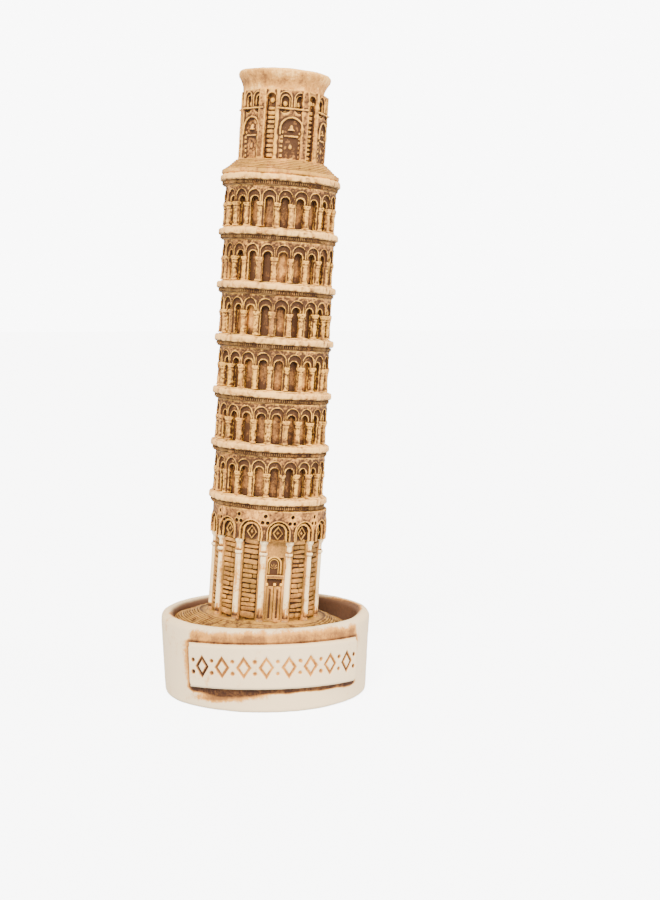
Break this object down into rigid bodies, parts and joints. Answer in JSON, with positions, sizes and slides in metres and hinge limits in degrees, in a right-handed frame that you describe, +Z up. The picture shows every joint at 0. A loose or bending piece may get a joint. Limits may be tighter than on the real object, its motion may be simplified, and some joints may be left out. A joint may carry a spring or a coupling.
{
  "type": "miniature landmark model",
  "caption": "Small leaning bell tower with arcaded galleries, standing in a round dish with a curved name plate.",
  "frame": {"origin": "centre of the dish's underside, on the surface it stands on", "axes": "+Z up, -Y out of the front through the name plate and the door, +X the way the tower leans"},
  "size_m": [0.0358, 0.0365, 0.1051],
  "materials": {
    "ivory_resin": "matte",
    "washed_resin": "matte",
    "cornice_resin": "matte",
    "stained_resin": "matte"
  },
  "bodies": {
    "root": {"base_dish": "ivory_resin", "name_plate": "ivory_resin", "stepped_plinth": "stained_resin", "ground_wall": "washed_resin", "ground_column_01": "ivory_resin", "ground_column_02": "ivory_resin", "ground_column_03": "ivory_resin", "ground_column_04": "ivory_resin", "ground_column_05": "ivory_resin", "ground_column_06": "ivory_resin", "ground_column_07": "ivory_resin", "ground_column_08": "ivory_resin", "ground_column_09": "ivory_resin", "ground_column_10": "ivory_resin", "ground_column_11": "ivory_resin", "ground_column_12": "ivory_resin", "ground_column_13": "ivory_resin", "ground_arcade": "washed_resin", "door_leaf": "stained_resin", "door_hood": "washed_resin", "cornice_1": "cornice_resin", "cornice_2": "cornice_resin", "cornice_3": "cornice_resin", "cornice_4": "cornice_resin", "cornice_5": "cornice_resin", "cornice_6": "cornice_resin", "cornice_7": "cornice_resin", "gallery_wall_1": "stained_resin", "gallery_wall_2": "stained_resin", "gallery_wall_3": "stained_resin", "gallery_wall_4": "stained_resin", "gallery_wall_5": "stained_resin", "gallery_wall_6": "stained_resin", "gallery_arcade_1": "washed_resin", "gallery_arcade_2": "washed_resin", "gallery_arcade_3": "washed_resin", "gallery_arcade_4": "washed_resin", "gallery_arcade_5": "washed_resin", "gallery_arcade_6": "washed_resin", "belfry_terrace": "cornice_resin", "belfry_wall": "stained_resin", "belfry_arcade": "washed_resin", "belfry_crown": "ivory_resin", "belfry_roof": "cornice_resin"}
  },
  "joints": []
}
